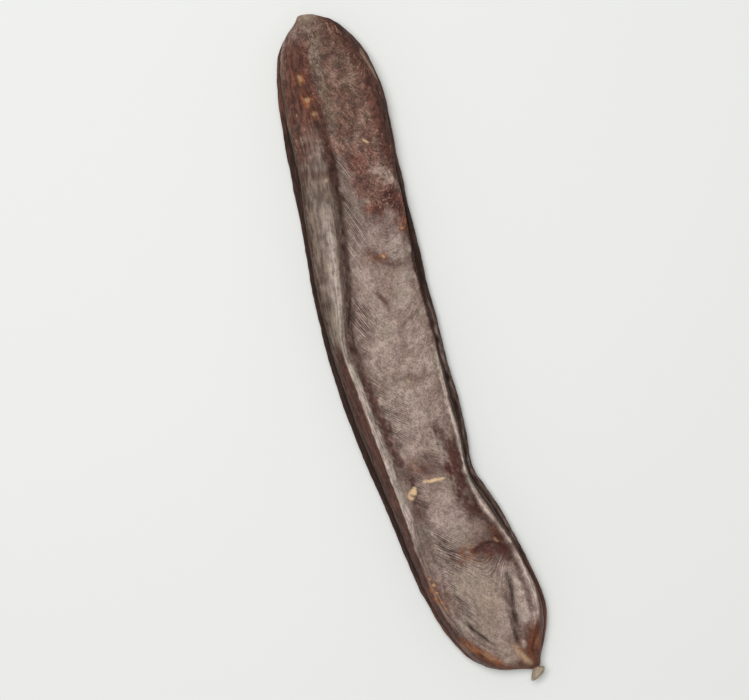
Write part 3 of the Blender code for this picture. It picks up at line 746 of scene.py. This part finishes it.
def colour_fields(f):
    """Where each colour of the skin lies, from 0 to 1."""
    x, y, u, small, tiny = f.x, f.y, f.u, f.small, f.tiny
    on_top = f.top * f.body

    red = 0
    for width, share, *line in RED_LINES:
        red += share * along_line(x + 0.5 * small, y + 0.5 * tiny, line, width)
    red += total(x, y, RED_PATCHES) * rise(-2.4, 0.6, small + 0.4 * tiny)
    red += total(POD_END - x, y, RED_PATCHES) * f.under
    red = unit(red) * (on_top + f.under)

    orange = total(x, y, ORANGE_PATCHES) * rise(-1.3, 0.5, tiny + 0.5 * small)
    cream = f.cream + 0.45 * along_line(x, y, TIP_STRIPE, 0.75) * on_top
    # The right fold's painted highlight is creamy too.
    cream += 0.28 * f.right_fold
    for bx, by, along, across, _, pale, rust, *turn in SCABS:
        spot = patch(x, y, bx, by, along, across, *turn)
        wider = patch(x, y, bx, by, 1.7 * along, 1.7 * across, *turn)
        cream += pale * rise(0.25, 0.75, spot * (1 + 0.45 * tiny)) * on_top
        orange += rust * rise(0.1, 0.75, wider * (1 + 0.3 * tiny))
    tip = rise(156, 165, x + 0.2 * np.abs(y + 6))

    veil = veil_field(f)
    # outermost: the outer lips, which are darkened below with painted shade.
    outermost = rise(26.2, 27.2, u) * rise(16, 30, x) + between(u, 15, 18.6, 0.4) * rise(38, 50, x)
    ruddy = f.top * 0.85 * rise(1, 0.35, f.lower) * rise(172, 168, x)
    ruddy += (1 - f.top) * (0.2 + 0.55 * rise(80, 10, x + 5 * small))
    ruddy *= 1 - f.band
    ruddy += f.band * (0.42 * rise(50, 24, x + 2.5 * small + 1.2 * tiny) + 0.1)
    ruddy += 0.8 * rise(138, 150, x) * (f.right_side + outermost)
    ruddy += 0.6 * f.flank + 0.6 * tip
    ruddy = unit(ruddy) * (1 - 0.45 * f.flank * rise(145, 158, x))
    grey = 0.75 * f.pale_band * (1 - 0.6 * f.ridge)
    grey += 0.75 * along_line(x, y, GREY_STRIPE, 1.25) + 0.35 * f.face * rise(40, 25, x)
    grey += 0.5 * patch(x, y, 133, -15.2, 6, 1.6) + 0.3 * f.left_strip

    # Darker in the left furrow, partly painted shade; near-black on the right side, painted shade; dark
    # along the seams.
    dark = 0.2 * f.furrow + (0.92 - 0.64 * rise(140, 152, x)) * f.right_side + 0.95 * f.seam
    dark += (0.78 - 0.3 * rise(36, 18, x)) * f.left_strip
    dark += 0.75 * f.right_round * (1 - 0.35 * between(x, 9, 22, 3))
    dark += 0.85 * f.flank * near(u, 0.9, 0.6) + 0.22 * f.flank
    dark *= 1 - 0.6 * unit(orange)
    # Painted shade on the outer lips, which turn down towards the floor.
    dark += 0.9 * outermost * (1 - 0.45 * rise(122, 140, x)) * rise(165, 150, x)
    dark *= 1 - 0.75 * near(u, 1, 0.6) * between(x, 4, 15, 2.5)
    dark *= 1 - 0.45 * tip * (1 - unit(f.seam + outermost))
    # Painted shade on the inner side of the right fold, with its highlight kept clear of dark.
    dark *= 1 - 0.9 * f.right_fold
    dark += 0.8 * along_line(x, y - 0.9, RIGHT_FOLD, 0.5) * between(u, 12.5, 14.3, 0.4)
    # The creases are darkened: painted shade.
    dark += 2.3 * creases(f, 1.1)
    # Dark patches, mostly painted shade along folds and dents.
    dark += total(x, y, DARK_PATCHES) * rise(-1.5, 0.3, small) * on_top

    # A thin pale line runs along the lower lip of the right edge: a painted highlight.
    lip_highlight = near(u + 0.1 * small, 16.15, 0.2) * between(x, 74, 140, 4) * rise(-1.7, -0.5, small)

    # Painted highlights along the band's ridge and the two crests, and some paler patches.
    pale = 0.9 * f.ridge + f.crest_left * rise(136, 122, x)
    pale += (0.9 - 0.5 * rise(140, 150, x)) * f.crest_right
    pale += 0.15 * patch(x, y, 127, -8, 6, 4.5) + 0.25 * patch(x, y, 98, -8, 10, 5)
    pale += 0.4 * patch(x, y, 151, 3.6, 7, 2.2) + 0.4 * patch(x, y, 62, 1.4, 4.5, 2.6)
    pale += 0.5 * patch(x, y, 157.6, 2.6, 3.5, 1.8)
    f.pale = unit(pale * (1 - red))
    sage = 0.75 * patch(x, y, 148.5, -6.5, 10, 5.5) + 0.35 * patch(x, y, 93, -8, 8, 4)
    f.sage = sage * f.face * (1 - red) * rise(-1.8, 0.2, small)
    streaky = f.band + f.ridge + f.crest_left + f.crest_right + f.left_strip + f.flank
    streaky += f.right_side + 0.8 * f.right_round + f.furrow + f.lips
    streaky += 0.8 * between(u, 15.6, 18.2, 0.4) + 0.8 * rise(25.6, 26.4, u)
    f.streaky = unit(streaky) * f.body
    f.strip = unit(f.left_strip + 0.5 * f.right_side + 0.6 * f.flank * rise(1.6, 0.9, u))
    veil *= (1 - 0.85 * red) * (1 - 0.5 * unit(orange))
    # The right lip's painted highlight joins the bloom and sheen.
    f.veil = unit(np.maximum(veil, 0.8 * lip_highlight))
    f.ruddy = unit(ruddy)
    f.grey = unit(grey * (1 - red))
    f.red = red
    f.orange = unit(orange + 0.2 * tip * (1 - f.face)) * on_top
    f.cream = unit(cream)
    f.dark = unit(dark) * (1 - 0.9 * rise(170.2, 170.8, x)) * rise(0.6, 3, x)
    # No dark under the right lip's painted highlight.
    f.dark = f.dark * (1 - 0.8 * lip_highlight)
    speckle = on_top * (1 - f.lower) * rise(75, 50, x) + 0.18 * on_top + 0.25 * f.flank
    f.speckle = unit(speckle)
    f.stroked = 0.1 + 0.22 * f.speckle + 0.3 * f.wrinkle
    scar = rise(3, 1.2, x) * rise(3.4, 2, f.from_axis + 0.3 * tiny)
    f.style = unit(rise(170.2, 170.8, x) + 0.75 * scar)
    # Painted shade in the middle of the stalk scar's hollow.
    f.hollow = rise(2, 0.7, x) * rise(1.5, 0.5, f.from_axis)
    gloss = 0.8 * f.face * f.lower + 0.8 * f.pale_band + f.crest_left + f.crest_right
    gloss += 0.15 * f.flank + 1.1 * tip + 0.4 * f.under
    f.gloss = unit(gloss * (1 - 0.5 * red))


FIELDS = (
    "veil", "pale", "strip", "ruddy", "grey", "sage", "red", "orange", "cream", "dark", "speckle",
    "style", "gloss", "streaky", "length", "ring", "wrinkle", "phase", "along", "stroked", "hollow",
)


def skin_mesh():
    """The skin as a mesh in the row frame, with its fields as attributes of its points."""
    cage = closed_cage()
    u = ring_columns()
    points = around_spline(along_spline(cage, even_rows(cage)), u)
    f = fields(points, u)
    height = skin_relief(points, f)
    colour_fields(f)
    low, high = points.reshape(-1, 3).min(axis=0), points.reshape(-1, 3).max(axis=0)
    points = points + grid_normals(points) * height[..., None]
    cad_low, cad_high = (np.array(corner) * 1000 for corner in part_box("pod"))
    shift = (low + high) / 2 - (cad_low + cad_high) / 2
    points[..., :2] -= shift[:2]
    points[..., 2] = np.maximum(points[..., 2], 0)

    rows, columns = points.shape[:2]
    corners = points[1:-1].reshape(-1, 3)
    corners = np.concatenate([corners, points[:1, 0], points[-1:, 0]]) / 1000
    rows -= 2
    index = np.arange(rows * columns).reshape(rows, columns)
    beside = np.roll(index, -1, axis=1)
    quads = np.stack([index[:-1], index[1:], beside[1:], beside[:-1]], axis=-1).reshape(-1, 4)
    start, end = rows * columns, rows * columns + 1
    faces = quads.tolist()
    faces += [(start, a, b) for a, b in zip(index[0].tolist(), beside[0].tolist())]
    faces += [(end, b, a) for a, b in zip(index[-1].tolist(), beside[-1].tolist())]
    mesh = bpy.data.meshes.new("skin")
    mesh.from_pydata(corners.tolist(), [], faces)
    for name in FIELDS:
        values = np.asarray(getattr(f, name), float)
        values = np.broadcast_to(values, (rows + 2, columns))
        flat = np.concatenate([values[1:-1].ravel(), values[:1, 0], values[-1:, 0]])
        attribute = mesh.attributes.new(name, "FLOAT", "POINT")
        attribute.data.foreach_set("value", flat.astype(np.float32))
    mesh.shade_smooth()
    mesh.validate()
    return mesh, shift


# Materials.

class Nodes:
    """Short ways to make and join the nodes of one material."""

    def __init__(self, name):
        self.material = bpy.data.materials.new(name)
        self.material.use_nodes = True
        self.tree = self.material.node_tree
        self.shader = self.tree.nodes["Principled BSDF"]

    def node(self, kind, **settings):
        """A new node with these settings."""
        node = self.tree.nodes.new("ShaderNode" + kind)
        for name, value in settings.items():
            setattr(node, name, value)
        return node

    def put(self, value, socket):
        """Joins a socket, or sets a number or colour."""
        if isinstance(value, bpy.types.NodeSocket):
            self.tree.links.new(value, socket)
        else:
            socket.default_value = value

    def field(self, name):
        """One of the mesh's fields."""
        return self.node("Attribute", attribute_name=name).outputs["Fac"]

    def math(self, operation, a, b=0, c=0, clamp=False):
        """A sum, product or other function of numbers."""
        node = self.node("Math", operation=operation, use_clamp=clamp)
        for value, socket in zip((a, b, c), node.inputs):
            self.put(value, socket)
        return node.outputs[0]

    def times(self, a, b, clamp=False):
        """A product."""
        return self.math("MULTIPLY", a, b, clamp=clamp)

    def plus(self, a, b):
        """A sum."""
        return self.math("ADD", a, b)

    def remap(self, value, low, high, to_low=0, to_high=1):
        """A value moved smoothly from one range to another."""
        node = self.node("MapRange", interpolation_type="SMOOTHSTEP")
        for item, socket in zip((value, low, high, to_low, to_high), node.inputs):
            self.put(item, socket)
        return node.outputs[0]

    def place(self):
        """Place on the object, in millimetres."""
        scaled = self.node("VectorMath", operation="MULTIPLY")
        self.put(self.node("TexCoord").outputs["Object"], scaled.inputs[0])
        scaled.inputs[1].default_value = (1000, 1000, 1000)
        return scaled.outputs[0]

    def pair(self, a, b):
        """A place made of two numbers."""
        node = self.node("CombineXYZ")
        self.put(a, node.inputs[0])
        self.put(b, node.inputs[1])
        return node.outputs[0]

    def noise(self, place, size, detail=3, roughness=0.55, distortion=0):
        """Noise whose lumps are about this many millimetres across."""
        node = self.node("TexNoise")
        self.put(place, node.inputs["Vector"])
        node.inputs["Scale"].default_value = 1 / size
        node.inputs["Detail"].default_value = detail
        node.inputs["Roughness"].default_value = roughness
        node.inputs["Distortion"].default_value = distortion
        return node.outputs["Fac"]

    def spots(self, place, size):
        """Distance to the nearest of many scattered points about this far apart."""
        node = self.node("TexVoronoi")
        self.put(place, node.inputs["Vector"])
        node.inputs["Scale"].default_value = 1 / size
        return node.outputs["Distance"]

    def blend(self, share, a, b):
        """One number mixed into another."""
        node = self.node("Mix", data_type="FLOAT")
        for value, socket in zip((share, a, b), (node.inputs[0], node.inputs[2], node.inputs[3])):
            self.put(value, socket)
        return node.outputs[0]

    def mix(self, share, a, b, blend="MIX"):
        """One colour mixed into another."""
        node = self.node("Mix", data_type="RGBA", blend_type=blend)
        self.put(share, node.inputs["Factor"])
        self.put(a, node.inputs[6])
        self.put(b, node.inputs[7])
        return node.outputs[2]

    def bump(self, height, distance, normal=None):
        """A normal from a height of 0 to 1 times the distance in metres."""
        node = self.node("Bump")
        node.inputs["Strength"].default_value = 1
        node.inputs["Distance"].default_value = distance
        self.put(height, node.inputs["Height"])
        if normal is not None:
            self.put(normal, node.inputs["Normal"])
        return node.outputs["Normal"]


CHESTNUT_DARK = (0.034, 0.013, 0.01, 1)
CHESTNUT = (0.072, 0.028, 0.021, 1)
RUDDY = (0.153, 0.064, 0.045, 1)
# The bloom's colours are made paler than bloom alone, to carry painted sheen of the overhead light.
MAUVE = (0.275, 0.19, 0.156, 1)
MAUVE_PALE = (0.385, 0.29, 0.248, 1)
# PALEST is the colour of the painted highlights and of the paler patches.
PALEST = (0.52, 0.425, 0.37, 1)
GREY_GREEN = (0.158, 0.122, 0.092, 1)
SAGE = (0.3, 0.27, 0.205, 1)
SAGE_PALE = (0.325, 0.252, 0.192, 1)
DEEP_RED = (0.07, 0.018, 0.014, 1)
RUST = (0.27, 0.088, 0.028, 1)
CREAM = (0.68, 0.47, 0.27, 1)
NEAR_BLACK = (0.02, 0.009, 0.006, 1)
# RECESS_SHADE: painted shade in the wrinkles' furrows and the stalk scar's hollow.
RECESS_SHADE = (0.03, 0.014, 0.011, 1)
FLECK = (0.42, 0.27, 0.205, 1)
FIBRE = (0.175, 0.12, 0.086, 1)
STYLE_COLOUR = (0.44, 0.36, 0.27, 1)
STYLE_DARK = (0.23, 0.165, 0.115, 1)
WRINKLE_PERIOD = 0.84


def skin_material():
    """Leathery, waxy skin: chestnut where it is bare, with a pale bloom on the raised faces that also
    holds painted sheen.
    """
    n = Nodes("pod_skin")
    place = n.place()
    bloom_and_sheen_share, speckle, streaky = n.field("veil"), n.field("speckle"), n.field("streaky")
    length, ring, along = n.field("length"), n.field("ring"), n.field("along")
    coarse = n.noise(place, 5, 4)
    middle = n.noise(place, 1.3, 4, 0.6)
    fine = n.noise(place, 0.45, 3, 0.65)
    streak_place = n.pair(n.times(length, 0.13), n.times(ring, 2.3))
    streaks = n.noise(streak_place, 0.55, 3, 0.6)
    wrinkle_place = n.pair(n.field("phase"), n.times(along, 0.17))
    feather = n.noise(wrinkle_place, 1, 3, 0.6)
    slow_feather = n.noise(wrinkle_place, 4, 2, 0.5)

    base = n.mix(n.remap(middle, 0.3, 0.7), CHESTNUT_DARK, CHESTNUT)
    base = n.mix(n.times(n.field("ruddy"), n.remap(coarse, 0.25, 0.6, 0.45, 1)), base, RUDDY)
    bloom_and_sheen_colour = n.mix(n.remap(coarse, 0.35, 0.65), MAUVE, MAUVE_PALE)
    bloom_and_sheen_colour = n.mix(n.times(n.field("pale"), n.remap(middle, 0.3, 0.6, 0.5, 1)), bloom_and_sheen_colour, PALEST)
    broken = n.plus(n.times(middle, 0.8), n.times(fine, 0.7))
    even, uneven = n.remap(broken, 0.45, 1, 0.8, 1.14), n.remap(broken, 0.45, 1, 0.45, 1.35)
    patchy = n.blend(speckle, even, uneven)
    veil = n.times(bloom_and_sheen_share, patchy, clamp=True)
    colour = n.mix(veil, base, bloom_and_sheen_colour)
    grey = n.times(n.field("grey"), n.remap(streaks, 0.32, 0.62, 0.15, 1))
    colour = n.mix(grey, colour, GREY_GREEN)
    tinge = n.remap(n.noise(place, 7, 2), 0.48, 0.66, 0, 0.35)
    colour = n.mix(n.times(tinge, bloom_and_sheen_share), colour, SAGE)
    for name, share, tint in (
        ("sage", n.remap(middle, 0.25, 0.6, 0.6, 1), SAGE_PALE),
        ("red", n.remap(middle, 0.2, 0.6, 0.55, 1), DEEP_RED),
        ("orange", n.remap(broken, 0.45, 0.95, 0.15, 1), RUST),
        ("dark", n.remap(streaks, 0.35, 0.7, 1, 0.62), NEAR_BLACK),
    ):
        colour = n.mix(n.times(n.field(name), share), colour, tint)
    fibre_place = n.pair(n.times(length, 0.05), n.times(ring, 5.5))
    fibres = n.noise(fibre_place, 0.55, 3, 0.7)
    fibres = n.times(n.field("strip"), n.remap(fibres, 0.44, 0.62))
    colour = n.mix(n.times(fibres, 0.85), colour, FIBRE)

    # Fine wrinkles: painted shade in their furrows and a painted highlight on their crests where the
    # bloom lies.
    phase = n.plus(n.field("phase"), n.times(slow_feather, 2.2))
    phase = n.plus(phase, n.times(middle, 0.6))
    swirl = n.times(n.times(coarse, speckle), 5)
    stroke_place = n.pair(n.plus(phase, swirl), n.times(along, 0.17))
    strokes = n.noise(stroke_place, 0.6, 2, 0.55)
    ridges = n.math("SINE", n.times(phase, 2 * math.pi / WRINKLE_PERIOD))
    ridges = n.math("MULTIPLY_ADD", ridges, 0.26, n.remap(feather, 0.28, 0.72, 0.15, 0.85))
    ridges = n.remap(ridges, 0.15, 0.85)
    wrinkle = n.times(n.field("wrinkle"), n.remap(slow_feather, 0.35, 0.6, 0.35, 1))
    furrows = n.times(n.math("SUBTRACT", 1, ridges), wrinkle)
    colour = n.mix(n.times(furrows, 0.72), colour, RECESS_SHADE)
    crests = n.times(n.remap(ridges, 0.7, 1), n.times(wrinkle, bloom_and_sheen_share))
    colour = n.mix(n.times(crests, 0.4), colour, PALEST)

    # Pores, pale flecks and short pale scratches.
    dots = n.remap(n.plus(n.times(middle, 0.35), n.times(fine, 0.65)), 0.38, 0.62)
    strength = n.math("MULTIPLY_ADD", speckle, 0.15, 0.18)
    grain = n.math("MULTIPLY_ADD", n.math("SUBTRACT", dots, 0.5), n.times(strength, 2), 1)
    drawn = n.times(n.math("SUBTRACT", n.remap(strokes, 0.32, 0.68), 0.5), n.field("stroked"))
    grain = n.times(grain, n.plus(drawn, 1))
    drawn_grain = n.remap(streaks, 0.36, 0.64, 0.5, 1.46)
    grain = n.blend(n.times(streaky, 0.8), grain, drawn_grain)
    mottles = n.remap(n.noise(place, 2.6, 4, 0.65, 0.6), 0.36, 0.64, -0.3, 0.3)
    grain = n.times(grain, n.math("MULTIPLY_ADD", mottles, speckle, 1))
    colour = n.mix(1, colour, grain, "MULTIPLY")
    flecks = n.math("LESS_THAN", n.spots(place, 1.5), n.remap(middle, 0.4, 0.65, 0.03, 0.2))
    scratches = n.remap(n.plus(strokes, n.times(fine, 0.5)), 0.8, 0.94)
    bare = n.math("SUBTRACT", 1, streaky)
    scratches = n.times(n.times(scratches, bare), n.remap(coarse, 0.38, 0.6, 0.15, 1))
    flecks = n.times(n.math("MAXIMUM", flecks, scratches), speckle)
    colour = n.mix(n.times(flecks, 0.5), colour, FLECK)
    colour = n.mix(n.field("cream"), colour, n.mix(n.remap(fine, 0.25, 0.5), FLECK, CREAM))
    colour = n.mix(n.field("style"), colour, n.mix(n.remap(fine, 0.35, 0.65), STYLE_COLOUR, STYLE_DARK))
    # Painted shade in the stalk scar's hollow.
    colour = n.mix(n.times(n.field("hollow"), n.remap(fine, 0.3, 0.6, 0.95, 0.6)), colour, RECESS_SHADE)
    n.put(colour, n.shader.inputs["Base Color"])

    rough = n.math("MULTIPLY_ADD", n.field("gloss"), -0.4, 0.74)
    rough = n.plus(rough, n.remap(fine, 0.3, 0.7, 0.06, -0.06))
    n.put(rough, n.shader.inputs["Roughness"])
    n.shader.inputs["Specular IOR Level"].default_value = 0.3
    n.shader.inputs["Specular Tint"].default_value = (1, 0.86, 0.79, 1)

    normal = n.bump(n.times(ridges, wrinkle), 0.00014)
    normal = n.bump(n.times(streaks, streaky), 0.0003, normal)
    normal = n.bump(n.plus(middle, n.times(fine, 0.6)), 0.0002, normal)
    n.put(normal, n.shader.inputs["Normal"])
    return n.material


def floor_material():
    """Plain pale floor."""
    n = Nodes("floor")
    n.shader.inputs["Base Color"].default_value = (0.8, 0.81, 0.79, 1)
    n.shader.inputs["Roughness"].default_value = 0.7
    return n.material


# The scene round the pod, in metres apart from the view's middle.

FLOOR_SIDE = 6
LIGHT_PLACE = (-0.17, -0.09, 0.95)
LIGHT_SIZE = 0.5
LIGHT_POWER = 7.6
WORLD_STRENGTH = 0.3
VIEW_MIDDLE = (83.7, -11.69)
CAMERA_HEIGHT = 0.508
CAMERA_LENS = 98.1
PHOTO_SLANT = (0.9468, 0.3219)


def add_object(name, data):
    """A new object in the scene."""
    obj = bpy.data.objects.new(name, data)
    bpy.context.scene.collection.objects.link(obj)
    return obj


def add_floor():
    """A wide plain floor at the height that the pod rests on."""
    mesh = bpy.data.meshes.new("floor")
    side = FLOOR_SIDE / 2
    corners = [(-side, -side, 0), (side, -side, 0), (side, side, 0), (-side, side, 0)]
    mesh.from_pydata(corners, [], [(0, 1, 2, 3)])
    mesh.materials.append(floor_material())
    floor = add_object("floor", mesh)


def add_light():
    """A soft square light above, which faces the pod."""
    light = bpy.data.lights.new("top", "AREA")
    light.shape = "SQUARE"
    light.size = LIGHT_SIZE
    light.energy = LIGHT_POWER
    obj = add_object("top", light)
    obj.location = LIGHT_PLACE
    obj.rotation_euler = (-obj.location).to_track_quat("-Z", "Y").to_euler()


def add_camera(shift):
    """A camera straight above, with the pod where the photo has it."""
    camera = bpy.data.cameras.new("camera")
    camera.sensor_width = 36
    camera.lens = CAMERA_LENS
    camera.clip_end = 20
    obj = add_object("camera", camera)
    x, y = (np.array(VIEW_MIDDLE) - shift[:2]) / 1000
    obj.location = (x, y, CAMERA_HEIGHT)
    obj.rotation_euler = (0, 0, math.atan2(*PHOTO_SLANT))
    bpy.context.scene.camera = obj


def add_world():
    """Even, pale light from all round."""
    world = bpy.data.worlds.new("studio")
    bpy.context.scene.world = world
    world.use_nodes = True
    background = world.node_tree.nodes["Background"]
    background.inputs["Color"].default_value = (1, 0.99, 0.97, 1)
    background.inputs["Strength"].default_value = WORLD_STRENGTH


def build():
    """Dresses the pod and sets up floor, lights and camera."""
    mesh, shift = skin_mesh()
    mesh.materials.append(skin_material())
    skin = add_object("skin", mesh)
    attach(skin, "root")
    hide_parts("pod")
    add_floor()
    add_world()
    add_light()
    add_camera(shift)
    bpy.context.scene.view_settings.view_transform = "Standard"


build()
